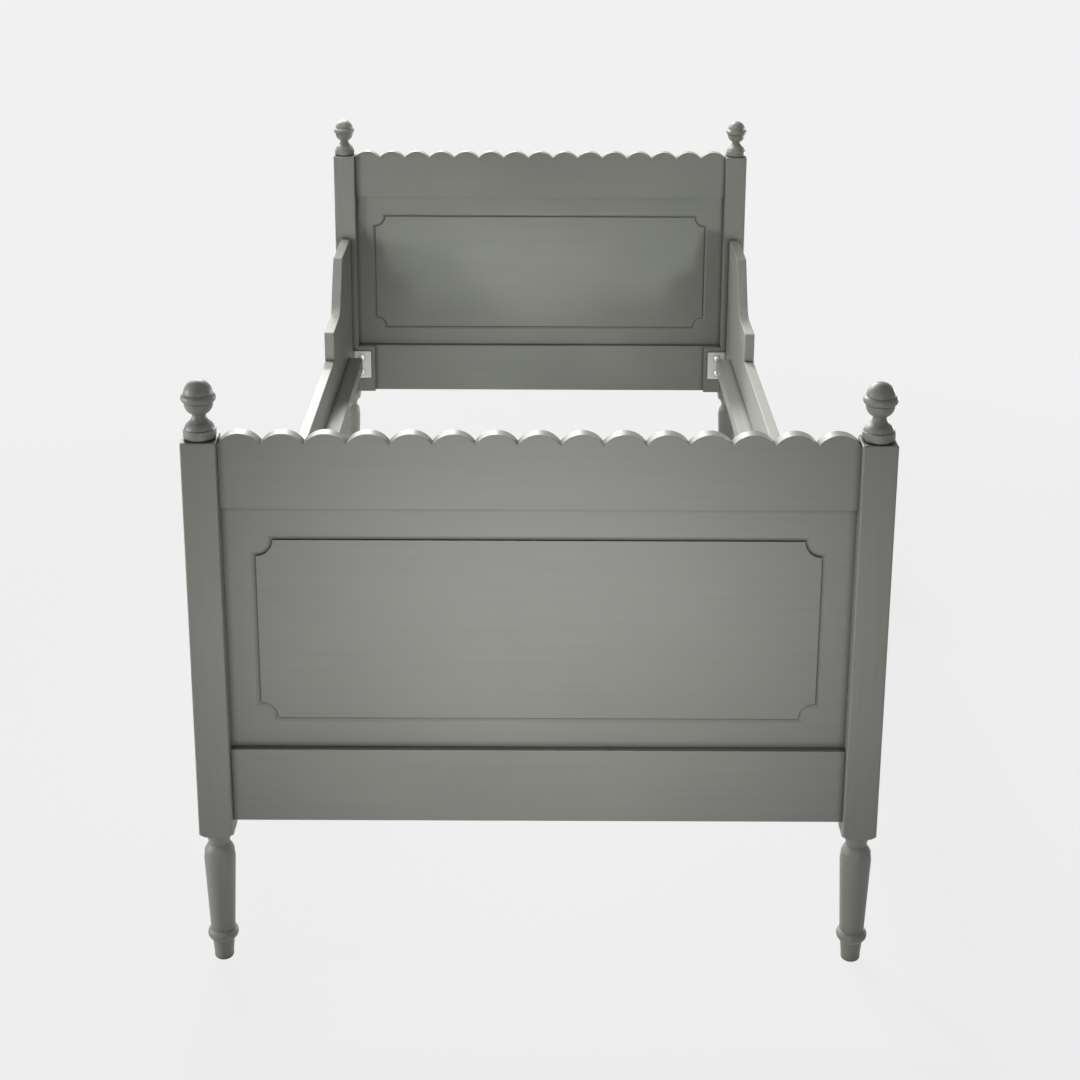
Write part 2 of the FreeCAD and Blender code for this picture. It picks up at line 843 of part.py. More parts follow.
def bracket_screws():
    """All screws that hold the brackets' arms to the side rails."""
    pieces = []
    for end in ends:
        for side in sides.values():
            for place in bracket_screw_places():
                head_at = Vector(side_rail_inner + bracket_thickness, place, bracket_screw_height())
                piece = screw(bracket_screw_length, head_at, Vector(-1, 0, 0))
                pieces.append(mirrored(at_end(piece, end), side))
    return Part.makeCompound(pieces)


def build():
    """Make every piece and write it to its own file."""
    os.makedirs("parts", exist_ok=True)
    for end in ends:
        for side_name, side in sides.items():
            save(end + "_post_" + side_name, post(end, side))
            save(end + "_finial_" + side_name, finial(end, side))
            save(end + "_corner_block_" + side_name, corner_block(end, side))
            save(end + "_bracket_" + side_name, bracket(end, side))
        save(end + "_top_rail", top_rail(end))
        save(end + "_bottom_rail", bottom_rail(end))
        save(end + "_panel", panel(end))
    for side_name, side in sides.items():
        save("side_rail_" + side_name, side_rail(side))
        save("wing_" + side_name, wing(side))
        save("ledger_" + side_name, ledger(side))
    save("finial_dowels", finial_dowels())
    save("rail_dowels", rail_dowels())
    save("wing_dowels", wing_dowels())
    save("ledger_screws", ledger_screws())
    save("bracket_bolts", bracket_bolts())
    save("bracket_screws", bracket_screws())


build()
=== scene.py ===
"""A painted wooden single bed in a pale studio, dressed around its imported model."""

import logging
import math
from collections.abc import Callable
from dataclasses import dataclass
from enum import Enum
from typing import ClassVar

import bmesh
import bpy
from mathutils import Matrix, Vector


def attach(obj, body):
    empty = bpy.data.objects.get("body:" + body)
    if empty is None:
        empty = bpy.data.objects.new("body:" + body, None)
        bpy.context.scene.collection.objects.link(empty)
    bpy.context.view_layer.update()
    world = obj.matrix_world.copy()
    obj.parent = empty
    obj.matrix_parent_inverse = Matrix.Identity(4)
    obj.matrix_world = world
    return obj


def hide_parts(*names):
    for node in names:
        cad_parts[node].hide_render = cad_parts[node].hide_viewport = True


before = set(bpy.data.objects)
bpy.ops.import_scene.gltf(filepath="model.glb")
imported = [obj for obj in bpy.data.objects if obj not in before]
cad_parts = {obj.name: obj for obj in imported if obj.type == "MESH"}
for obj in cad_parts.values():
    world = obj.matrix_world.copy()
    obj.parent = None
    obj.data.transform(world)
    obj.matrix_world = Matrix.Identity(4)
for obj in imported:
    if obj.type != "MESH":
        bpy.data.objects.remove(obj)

Socket = bpy.types.NodeSocket
Tree = bpy.types.NodeTree

log = logging.getLogger("bed")

TOUCH = 1e-5       # places nearer than this, in metres, count as one when something is selected
MERGE = 1e-6       # corners nearer than this, in metres, are merged
ALONG = 0.99       # least share of a direction that lies along an axis

# Several sockets of a Mix node share a name, so they are told by number.
VALUE_A, VALUE_B, VALUE_OUT = 2, 3, 0
COLOUR_A, COLOUR_B, COLOUR_OUT = 6, 7, 2


class Grain(Enum):
    """Which way the fibres and the brush ran on a piece."""

    ACROSS = "across"
    LENGTHWISE = "lengthwise"
    UPRIGHT = "upright"

    @property
    def turn(self) -> tuple[float, float, float]:
        """Find the turn that lays the grain along the pattern's first axis.

        Returns:
            The turn about each axis.
        """
        return {
            Grain.ACROSS: (0.0, 0.0, 0.0),
            Grain.LENGTHWISE: (0.0, 0.0, -math.pi / 2),
            Grain.UPRIGHT: (0.0, math.pi / 2, 0.0),
        }[self]


class Element(Enum):
    """What is picked on a mesh in edit mode."""

    EDGE = "EDGE"
    FACE = "FACE"


class Join(Enum):
    """How one workpiece acts on another."""

    CUT = "DIFFERENCE"
    UNITE = "UNION"


class End(Enum):
    """One of the bed's two panelled ends, by the way its outer side faces along Y."""

    FOOT = -1
    HEAD = 1


def linear(red: int, green: int, blue: int) -> tuple[float, float, float, float]:
    """Linear colour of three display values.

    Args:
        red: Red from 0 to 255.
        green: Green from 0 to 255.
        blue: Blue from 0 to 255.

    Returns:
        The colour that a shader's socket takes.
    """
    full, toe, slope, offset, power = 255.0, 0.04045, 12.92, 0.055, 2.4
    values = []
    for value in (red, green, blue):
        share = value / full
        values.append(share / slope if share <= toe else ((share + offset) / (1 + offset)) ** power)
    return (values[0], values[1], values[2], 1.0)


# Shader groups and materials


class NodeWork:
    """A node tree in the making, with short ways to add and join its nodes."""

    def __init__(self, tree: Tree) -> None:
        """Take the tree."""
        self.tree = tree

    def node(self, kind: str, **settings: object) -> bpy.types.Node:
        """Add a node and set its options.

        Args:
            kind: Type name of the node.
            **settings: Options by name.

        Returns:
            The new node.
        """
        made = self.tree.nodes.new(kind)
        for name, value in settings.items():
            setattr(made, name, value)
        return made

    def join(self, source: Socket, target: Socket) -> None:
        """Link two sockets."""
        self.tree.links.new(source, target)

    def sum_up(self, operation: str, first: Socket, second: Socket) -> Socket:
        """Work out one value from two.

        Args:
            operation: What is done with them.
            first: The first value.
            second: The second value.

        Returns:
            The result's socket.
        """
        made = self.node("ShaderNodeMath", operation=operation)
        self.join(first, made.inputs[0])
        self.join(second, made.inputs[1])
        return made.outputs[0]

    def seen(self) -> Socket:
        """Tell what is seen from what gives light.

        Returns:
            The socket of a share, one where the camera, a gloss or glass sees the surface and zero else.
        """
        path = self.node("ShaderNodeLightPath")
        share = self.sum_up("MAXIMUM", path.outputs["Is Camera Ray"], path.outputs["Is Glossy Ray"])
        return self.sum_up("MAXIMUM", share, path.outputs["Is Transmission Ray"])

    def show(self, share: Socket, lit: Socket, plain: Socket, target: Socket) -> None:
        """Mix two shaders into an output.

        Args:
            share: Share of the plain shader.
            lit: Shader that gives and takes light.
            plain: Shader that shows an even tone.
            target: The output's socket.
        """
        mix = self.node("ShaderNodeMixShader")
        self.join(share, mix.inputs[0])
        self.join(lit, mix.inputs[1])
        self.join(plain, mix.inputs[2])
        self.join(mix.outputs[0], target)


@dataclass(frozen=True)
class Layer:
    """One layer of noise: its scale along and across the grain, its finer layers and their share."""

    along: float
    across: float
    detail: float
    rough: float


class GroupBuilder(NodeWork):
    """A shader node group in the making."""

    def __init__(self, name: str) -> None:
        """Start the empty group.

        Args:
            name: Name of the group.
        """
        super().__init__(bpy.data.node_groups.new(name, "ShaderNodeTree"))
        self.inlet = self.node("NodeGroupInput")
        self.outlet = self.node("NodeGroupOutput")

    def take(self, name: str, kind: str, value: float | None = None) -> None:
        """Add an input.

        Args:
            name: Name of the input.
            kind: Kind of socket.
            value: Value while nothing is joined to it.
        """
        socket = self.tree.interface.new_socket(name, in_out="INPUT", socket_type=kind)
        if value is not None:
            socket.default_value = value

    def give(self, *names: str) -> None:
        """Add outputs that are values."""
        for name in names:
            self.tree.interface.new_socket(name, in_out="OUTPUT", socket_type="NodeSocketFloat")

    def noise(self, layer: Layer) -> Socket:
        """Noise on the group's vector, different for each seed.

        Args:
            layer: Its stretch, detail and roughness.

        Returns:
            The noise value's socket.
        """
        scale = self.node("ShaderNodeVectorMath", operation="MULTIPLY")
        scale.inputs[1].default_value = (layer.along, layer.across, layer.across)
        made = self.node("ShaderNodeTexNoise", noise_dimensions="4D")
        made.inputs["Scale"].default_value = 1.0
        made.inputs["Detail"].default_value = layer.detail
        made.inputs["Roughness"].default_value = layer.rough
        self.join(self.inlet.outputs["Vector"], scale.inputs[0])
        self.join(scale.outputs[0], made.inputs["Vector"])
        self.join(self.inlet.outputs["Seed"], made.inputs["W"])
        return made.outputs["Fac"]

    def blend(self, first: Socket, second: Socket, share: float) -> Socket:
        """Mix two values.

        Args:
            first: Value at share zero.
            second: Value at share one.
            share: Share of the second value.

        Returns:
            The mixed value's socket.
        """
        made = self.node("ShaderNodeMix", data_type="FLOAT")
        made.inputs["Factor"].default_value = share
        self.join(first, made.inputs[VALUE_A])
        self.join(second, made.inputs[VALUE_B])
        return made.outputs[VALUE_OUT]


@dataclass(frozen=True)
class BrushedCoat:
    """Strokes of a brush, the grain under them and the slow drift of a hand-painted coat."""

    strokes: Layer = Layer(9.0, 420.0, 3.0, 0.55)
    grain: Layer = Layer(3.0, 75.0, 4.0, 0.6)
    drift: Layer = Layer(4.5, 4.5, 3.0, 0.5)
    stroke_share: float = 0.45
    drift_share: float = 0.5

    def build(self) -> Tree:
        """Make the group.

        Returns:
            The group, with a tone mask, a roughness mask and a height as its outputs.
        """
        made = GroupBuilder("brushed_coat")
        made.take("Vector", "NodeSocketVector")
        made.take("Seed", "NodeSocketFloat", 0.0)
        made.give("Tone", "Sheen", "Height")
        strokes = made.noise(self.strokes)
        grain = made.noise(self.grain)
        drift = made.noise(self.drift)
        height = made.blend(grain, strokes, self.stroke_share)
        made.join(made.blend(height, drift, self.drift_share), made.outlet.inputs["Tone"])
        made.join(made.blend(strokes, drift, self.drift_share), made.outlet.inputs["Sheen"])
        made.join(height, made.outlet.inputs["Height"])
        return made.tree


@dataclass(frozen=True)
class PaintedCornerShade:
    """Painted shade that darkens joints and inner corners, where other surfaces come near."""

    open_from: float = 0.97
    closed_from: float = 0.5
    samples: int = 8
    usual_reach: float = 0.01
    usual_share: float = 0.5

    def build(self) -> Tree:
        """Make the group.

        Returns:
            The group, with a mask as its output that is one where no nearby surface casts painted shade.
        """
        made = GroupBuilder("painted_corner_shade")
        made.take("Reach", "NodeSocketFloat", self.usual_reach)
        made.take("Share", "NodeSocketFloat", self.usual_share)
        made.give("Unshaded")
        # Painted shade: how closely nearby surfaces hem a point in sets how dark its colour turns.
        corner = made.node("ShaderNodeAmbientOcclusion", samples=self.samples)
        rest = made.node("ShaderNodeMath", operation="SUBTRACT")
        rest.inputs[0].default_value = 1.0
        depth = made.node("ShaderNodeMapRange")
        depth.inputs["From Min"].default_value = self.closed_from
        depth.inputs["From Max"].default_value = self.open_from
        depth.inputs["To Max"].default_value = 1.0
        made.join(made.inlet.outputs["Reach"], corner.inputs["Distance"])
        made.join(made.inlet.outputs["Share"], rest.inputs[1])
        made.join(corner.outputs["AO"], depth.inputs["Value"])
        made.join(rest.outputs[0], depth.inputs["To Min"])
        made.join(depth.outputs["Result"], made.outlet.inputs["Unshaded"])
        return made.tree


class Effects:
    """The effects that several finishes share."""

    def __init__(self) -> None:
        """Build each effect's group once."""
        self.coat = BrushedCoat().build()
        # Painted shade in inner corners and joints, from ambient occlusion.
        self.corner_shade = PaintedCornerShade().build()


class MaterialBuilder(NodeWork):
    """A material in the making."""

    def __init__(self, name: str) -> None:
        """Start from the shader that every new material has.

        Args:
            name: Name of the material.
        """
        self.material = bpy.data.materials.new(name)
        self.material.use_nodes = True
        super().__init__(self.material.node_tree)
        self.shader = self.tree.nodes["Principled BSDF"]

    def pattern(self, group: Tree, grain: Grain, seed: float) -> bpy.types.Node:
        """Place a group on the object's own coordinates, turned to the grain.

        Args:
            group: The shader group.
            grain: Way of the grain.
            seed: Number that sets this pattern apart from its neighbours.

        Returns:
            The group's node.
        """
        place = self.node("ShaderNodeTexCoord")
        turn = self.node("ShaderNodeMapping")
        turn.inputs["Rotation"].default_value = grain.turn
        made = self.node("ShaderNodeGroup", node_tree=group)
        made.inputs["Seed"].default_value = seed
        self.join(place.outputs["Object"], turn.inputs["Vector"])
        self.join(turn.outputs["Vector"], made.inputs["Vector"])
        return made

    def tint(self, mask: Socket, dark: tuple, light: tuple) -> Socket:
        """Colour between two colours by a mask.

        Args:
            mask: Share of the light colour.
            dark: Colour at zero.
            light: Colour at one.

        Returns:
            The colour's socket.
        """
        mix = self.node("ShaderNodeMix", data_type="RGBA")
        mix.inputs[COLOUR_A].default_value = dark
        mix.inputs[COLOUR_B].default_value = light
        self.join(mask, mix.inputs["Factor"])
        return mix.outputs[COLOUR_OUT]

    def shade_corners(self, colour: Socket, group: Tree, reach: float, share: float) -> Socket:
        """Darken a colour in joints and inner corners, as painted shade.

        Args:
            colour: The unshaded colour's socket.
            group: The group of the painted corner shade.
            reach: How far out of a corner it shows, in metres.
            share: How much of it shows.

        Returns:
            The darkened colour's socket.
        """
        # Painted shade: the colour is multiplied by how open the surface is to its surroundings.
        corner_shade = self.node("ShaderNodeGroup", node_tree=group)
        corner_shade.inputs["Reach"].default_value = reach
        corner_shade.inputs["Share"].default_value = share
        mix = self.node("ShaderNodeMix", data_type="RGBA", blend_type="MULTIPLY")
        mix.inputs["Factor"].default_value = 1.0
        self.join(colour, mix.inputs[COLOUR_A])
        self.join(corner_shade.outputs["Unshaded"], mix.inputs[COLOUR_B])
        return mix.outputs[COLOUR_OUT]

    def gloss(self, mask: Socket, low: float, high: float) -> None:
        """Vary the roughness by a mask.

        Args:
            mask: Where between the two values the surface lies.
            low: Roughness at zero.
            high: Roughness at one.
        """
        span = self.node("ShaderNodeMapRange")
        span.inputs["To Min"].default_value = low
        span.inputs["To Max"].default_value = high
        self.join(mask, span.inputs["Value"])
        self.join(span.outputs["Result"], self.shader.inputs["Roughness"])

    def relief(self, height: Socket, share: float, depth: float) -> None:
        """Raise the surface by a height.

        Args:
            height: The height's socket.
            share: How much of it shows.
            depth: Real height in metres of a full step.
        """
        bump = self.node("ShaderNodeBump")
        bump.inputs["Strength"].default_value = share
        bump.inputs["Distance"].default_value = depth
        self.join(height, bump.inputs["Height"])
        self.join(bump.outputs["Normal"], self.shader.inputs["Normal"])


# Finishes


@dataclass(frozen=True)
class Finish:
    """A finish with two tones, which the coat's pattern varies and painted shade darkens in the corners.
    """

    name: str
    grain: Grain
    seed: float
    dark: tuple
    light: tuple
    rough_low: float
    rough_high: float
    relief_share: float
    relief_depth: float
    # Reach and share of the painted shade in inner corners.
    shade_reach: float = 0.0
    shade_share: float = 0.0
    metallic: float = 0.0

    def build(self, effects: Effects) -> bpy.types.Material:
        """Make the material.

        Args:
            effects: The shared effects.

        Returns:
            The material.
        """
        made = MaterialBuilder(self.name)
        made.shader.inputs["Metallic"].default_value = self.metallic
        pattern = made.pattern(effects.coat, self.grain, self.seed)
        colour = made.tint(pattern.outputs["Tone"], self.dark, self.light)
        # Painted shade: the base colour darkens near other surfaces.
        if self.shade_share:
            colour = made.shade_corners(colour, effects.corner_shade, self.shade_reach, self.shade_share)
        made.join(colour, made.shader.inputs["Base Color"])
        made.gloss(pattern.outputs["Sheen"], self.rough_low, self.rough_high)
        made.relief(pattern.outputs["Height"], self.relief_share, self.relief_depth)
        return made.material


@dataclass(frozen=True)
class SatinPaint(Finish):
    """Warm grey satin paint, brushed along the grain of a piece."""

    dark: tuple = linear(116, 117, 111)
    light: tuple = linear(146, 147, 140)
    rough_low: float = 0.4
    rough_high: float = 0.6
    relief_share: float = 0.35
    relief_depth: float = 0.0004
    # Painted shade in the joints, where posts, rails and panel meet.
    shade_reach: float = 0.011
    shade_share: float = 0.65


@dataclass(frozen=True)
class RawWood(Finish):
    """Unpainted beech of the dowels, whose grain is the coat's."""

    name: str = "raw_wood"
    grain: Grain = Grain.UPRIGHT
    seed: float = 3.0
    dark: tuple = linear(176, 138, 92)
    light: tuple = linear(224, 190, 142)
    rough_low: float = 0.55
    rough_high: float = 0.8
    relief_share: float = 0.5
    relief_depth: float = 0.0004


@dataclass(frozen=True)
class DullPlating(Finish):
    """Clouded zinc plating on the brackets."""

    name: str = "zinc_plating"
    grain: Grain = Grain.UPRIGHT
    seed: float = 5.0
    dark: tuple = linear(184, 185, 184)
    light: tuple = linear(230, 230, 228)
    rough_low: float = 0.28
    rough_high: float = 0.5
    relief_share: float = 0.1
    relief_depth: float = 0.0002
    # Painted shade around the bolt heads and in the bracket's bend.
    shade_reach: float = 0.009
    shade_share: float = 0.75
    metallic: float = 1.0


@dataclass(frozen=True)
class BrightPlating(DullPlating):
    """Brighter plating on the bolts and screws."""

    name: str = "bright_steel"
    seed: float = 7.0
    dark: tuple = linear(236, 236, 234)
    light: tuple = linear(252, 252, 250)
    rough_low: float = 0.34
    rough_high: float = 0.46
    # Weaker painted shade where the heads meet the plate.
    shade_share: float = 0.3


# The studio


@dataclass(frozen=True)
class Camera:
    """The photograph's camera: high in front of the foot end, looking down along the bed."""

    place: tuple[float, float, float] = (-0.0007, -3.571, 1.7332)
    pitch: float = 0.2807
    yaw: float = -0.0004
    roll: float = 0.0039
    lens: float = 64.07
    sensor: float = 36.0
    shift_down: float = 0.2
    near: float = 0.05
    far: float = 200.0

    def build(self) -> None:
        """Make the camera and let the scene look through it."""
        data = bpy.data.cameras.new("camera")
        data.lens = self.lens
        data.sensor_width = self.sensor
        data.shift_y = -self.shift_down
        data.clip_start = self.near
        data.clip_end = self.far
        camera = bpy.data.objects.new("camera", data)
        bpy.context.scene.collection.objects.link(camera)
        facing = Matrix.Rotation(self.yaw, 4, "Z") @ Matrix.Rotation(math.pi / 2 - self.pitch, 4, "X")
        camera.matrix_world = Matrix.Translation(self.place) @ facing @ Matrix.Rotation(self.roll, 4, "Z")
        bpy.context.scene.camera = camera


@dataclass(frozen=True)
class SoftLight:
    """A large soft lamp aimed at a point."""

    name: str
    place: tuple[float, float, float]
    target: tuple[float, float, float]
    sides: tuple[float, float]
    power: float
    spread: float = math.pi

    def build(self) -> None:
        """Make the lamp."""
        data = bpy.data.lights.new(self.name, "AREA")
        data.shape = "ELLIPSE"
        data.size, data.size_y = self.sides
        data.energy = self.power
        data.spread = self.spread
        lamp = bpy.data.objects.new(self.name, data)
        bpy.context.scene.collection.objects.link(lamp)
        lamp.location = self.place
        way = Vector(self.target) - Vector(self.place)
        lamp.rotation_euler = way.to_track_quat("-Z", "Y").to_euler()
        lamp.visible_camera = False


@dataclass(frozen=True)
class Studio:
    """Pale seamless floor, even surroundings and soft lamps."""

    pale: tuple = linear(241, 241, 241)
    white: tuple = linear(255, 255, 255)
    ambient: float = 0.12
    floor_reach: float = 60.0
    floor_sides: int = 96
    floor_tone: tuple = linear(170, 170, 170)
    shadow_share: float = 0.07
    shadow_reach: float = 3.2
    shadow_core_share: float = 1 / 3
    lamps: tuple[SoftLight, ...] = (
        SoftLight("back_high", (-0.6, 3.4, 3.1), (-0.2, 0.2, 0.4), (0.55, 0.55), 165.0),
        SoftLight("back_left", (-1.7, 2.6, 2.1), (0.0, 0.2, 0.5), (0.9, 0.9), 45.0),
        SoftLight("left_high", (-1.1, 1.2, 2.4), (0.4, -0.3, 0.3), (0.6, 0.6), 12.0, 1.1),
        SoftLight("left_front", (-2.8, -1.15, 1.05), (0.3, -0.9, 0.6), (0.5, 0.5), 44.0),
        SoftLight("right_back", (2.6, 2.4, 0.38), (0.5, 0.1, 0.35), (0.8, 0.4), 58.0),
        SoftLight("over_bed", (-0.2, 0.3, 3.2), (0.0, 0.3, 0.45), (1.2, 1.2), 10.0),
        SoftLight("foot_fill", (-0.04, -2.35, 0.39), (0.01, -1.055, 0.54), (0.9, 0.2), 2.0, 1.15),
        SoftLight("head_fill", (-0.1, -0.05, 0.4), (-0.08, 1.03, 0.3), (0.5, 0.15), 0.36, 0.95),
        SoftLight("nose_left", (-1.3, -1.9, 0.35), (-0.475, 0.592, 0.5), (0.3, 0.3), 0.4, 0.5),
        SoftLight("nose_right", (1.3, -1.9, 0.35), (0.475, 0.592, 0.5), (0.3, 0.3), 0.45, 0.5),
    )

    def surroundings(self) -> None:
        """Light the world evenly, and show it pale to the camera and in reflections."""
        world = bpy.data.worlds.new("studio")
        bpy.context.scene.world = world
        world.use_nodes = True
        made = NodeWork(world.node_tree)
        back = made.tree.nodes["Background"]
        back.inputs["Color"].default_value = self.white
        back.inputs["Strength"].default_value = self.ambient
        plain = made.node("ShaderNodeBackground")
        plain.inputs["Color"].default_value = self.pale
        surface = made.tree.nodes["World Output"].inputs["Surface"]
        made.show(made.seen(), back.outputs[0], plain.outputs[0], surface)

    def shadow_fade(self, made: MaterialBuilder) -> Socket:
        """Share of the floor's own paleness, which leaves room for the shadow near the bed.

        Args:
            made: The floor's material.

        Returns:
            The share's socket.
        """
        place = made.node("ShaderNodeTexCoord")
        reach = made.node("ShaderNodeVectorMath", operation="LENGTH")
        fade = made.node("ShaderNodeMapRange", interpolation_type="SMOOTHSTEP")
        fade.inputs["From Min"].default_value = self.shadow_reach * self.shadow_core_share
        fade.inputs["From Max"].default_value = self.shadow_reach
        fade.inputs["To Min"].default_value = 1.0 - self.shadow_share
        fade.inputs["To Max"].default_value = 1.0
        made.join(place.outputs["Object"], reach.inputs[0])
        made.join(reach.outputs["Value"], fade.inputs["Value"])
        return fade.outputs["Result"]

    def floor(self) -> None:
        """Lay the floor, whose own paleness outweighs the shadow on it."""
        made = MaterialBuilder("pale_floor")
        made.shader.inputs["Base Color"].default_value = self.floor_tone
        made.shader.inputs["Roughness"].default_value = 1.0
        made.shader.inputs["Specular IOR Level"].default_value = 0.0
        glow = made.node("ShaderNodeEmission")
        glow.inputs["Color"].default_value = self.pale
        share = made.sum_up("MULTIPLY", made.seen(), self.shadow_fade(made))
        surface = made.tree.nodes["Material Output"].inputs["Surface"]
        made.show(share, made.shader.outputs[0], glow.outputs[0], surface)
        bpy.ops.object.select_all(action="DESELECT")
        bpy.ops.mesh.primitive_circle_add(
            vertices=self.floor_sides, radius=self.floor_reach, fill_type="NGON",
        )
        floor = bpy.context.object
        floor.name = "floor"
        floor.data.materials.append(made.material)

    def build(self) -> None:
        """Set the view, the surroundings, the floor and the lamps."""
        bpy.context.scene.view_settings.view_transform = "Standard"
        self.surroundings()
        self.floor()
        for lamp in self.lamps:
            lamp.build()
        log.info("studio ready")


# The workbench


@dataclass
class Workpiece:
    """A piece on the bench, shaped in edit mode and finished with modifiers."""

    name: str
    thing: bpy.types.Object
    ease_steps: ClassVar[int] = 2
    ease_from: ClassVar[float] = 0.5
    smooth_to: ClassVar[float] = 0.35

    @classmethod
    def take(cls, name: str) -> "Workpiece":
        """Take the primitive that was just added, and settle its place in its mesh.

        Args:
            name: Name of the piece.

        Returns:
            The workpiece.
        """
        thing = bpy.context.object
        thing.name = name
        thing.data.name = name
        bpy.ops.object.transform_apply(location=True, rotation=True, scale=True)
        return cls(name, thing)

    @classmethod
    def block(cls, name: str, low: tuple, high: tuple) -> "Workpiece":
        """Square block between two corners.

        Args:
            name: Name of the piece.
            low: Lowest corner.
            high: Highest corner.

        Returns:
            The workpiece.
        """
        bpy.ops.object.select_all(action="DESELECT")
        middle = [(a + b) / 2 for a, b in zip(low, high)]
        bpy.ops.mesh.primitive_cube_add(size=1.0, location=middle)
        bpy.context.object.scale = [b - a for a, b in zip(low, high)]
        return cls.take(name)

    @classmethod
    def rod(cls, name: str, radius: float, start: tuple, length: float, sides: int = 32) -> "Workpiece":
        """Round bar that stands on a point.

        Args:
            name: Name of the piece.
            radius: Radius of the bar.
            start: Middle of its lower end.
            length: Its length upwards.
            sides: Number of its flat sides.

        Returns:
            The workpiece.
        """
        bpy.ops.object.select_all(action="DESELECT")
        middle = (start[0], start[1], start[2] + length / 2)
        bpy.ops.mesh.primitive_cylinder_add(vertices=sides, radius=radius, depth=length, location=middle)
        return cls.take(name)

    def hold(self) -> None:
        """Make this the one selected and active object."""
        bpy.ops.object.select_all(action="DESELECT")
        self.thing.select_set(True)
        bpy.context.view_layer.objects.active = self.thing

    def pick(self, kind: Element, test: Callable[[Vector, Vector], bool]) -> None:
        """Open the piece in edit mode with some of its faces or edges selected.

        Args:
            kind: What to select.
            test: Says by its middle and its direction whether one is selected. The direction is a
                face's normal or the way along an edge.
        """
        self.hold()
        bpy.ops.object.mode_set(mode="EDIT")
        bpy.ops.mesh.select_mode(type=kind.value)
        bpy.ops.mesh.select_all(action="DESELECT")
        shape = bmesh.from_edit_mesh(self.thing.data)
        if kind is Element.FACE:
            for face in shape.faces:
                face.select_set(test(face.calc_center_median(), face.normal))
        else:
            for edge in shape.edges:
                first, last = (corner.co for corner in edge.verts)
                edge.select_set(test((first + last) / 2, (last - first).normalized()))
        bmesh.update_edit_mesh(self.thing.data)

    def close(self) -> None:
        """Leave edit mode."""
        bpy.ops.object.mode_set(mode="OBJECT")

    def tidy(self) -> None:
        """Merge doubles and turn every face outwards."""
        self.pick(Element.FACE, lambda middle, way: True)
        bpy.ops.mesh.remove_doubles(threshold=MERGE)
        bpy.ops.mesh.normals_make_consistent(inside=False)
        self.close()

    def apply(self, kind: str, **settings: object) -> None:
        """Add a modifier and apply it.

        Args:
            kind: Kind of modifier.
            **settings: Its options by name.
        """
        self.hold()
        made = self.thing.modifiers.new("work", kind)
        for name, value in settings.items():
            setattr(made, name, value)
        bpy.ops.object.modifier_apply(modifier=made.name)

    def ease(self, width: float) -> None:
        """Take the sharpness off every edge that turns by more than a little.

        Args:
            width: Width of the eased edge.
        """
        self.apply(
            "BEVEL", width=width, segments=self.ease_steps,
            limit_method="ANGLE", angle_limit=self.ease_from,
        )

    def join(self, tool: "Workpiece", how: Join) -> None:
        """Cut another workpiece out of this one or unite the two, and use the other up."""
        self.apply("BOOLEAN", object=tool.thing, operation=how.value, solver="EXACT")
        bpy.data.objects.remove(tool.thing, do_unlink=True)

    def copy(self, name: str, place: Matrix) -> "Workpiece":
        """Copy of the piece with its own mesh.

        Args:
            name: Name of the copy.
            place: Where the copy goes, which may mirror it.

        Returns:
            The copy.
        """
        thing = self.thing.copy()
        thing.data = self.thing.data.copy()
        thing.name = name
        thing.data.name = name
        bpy.context.scene.collection.objects.link(thing)
        thing.data.transform(place)
        made = Workpiece(name, thing)
        if place.determinant() < 0:
            made.tidy()
        return made

    def gather(self, others: list["Workpiece"]) -> None:
        """Join other pieces to this one as loose parts of one object.

        Args:
            others: The other pieces.
        """
        self.hold()
        for other in others:
            other.thing.select_set(True)
        bpy.ops.object.join()

    def drop(self) -> None:
        """Take the piece off the bench."""
        bpy.data.objects.remove(self.thing, do_unlink=True)

    def finish(self, material: bpy.types.Material, slot: str, node: str) -> None:
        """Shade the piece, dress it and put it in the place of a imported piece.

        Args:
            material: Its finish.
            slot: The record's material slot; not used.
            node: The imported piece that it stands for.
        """
        self.hold()
        bpy.ops.object.shade_smooth_by_angle(angle=self.smooth_to)
        self.thing.data.materials.clear()
        self.thing.data.materials.append(material)
        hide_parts(node)
        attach(self.thing, "root")
        log.info("%s: %d faces, in place of %s", self.name, len(self.thing.data.polygons), node)


# The panelled ends


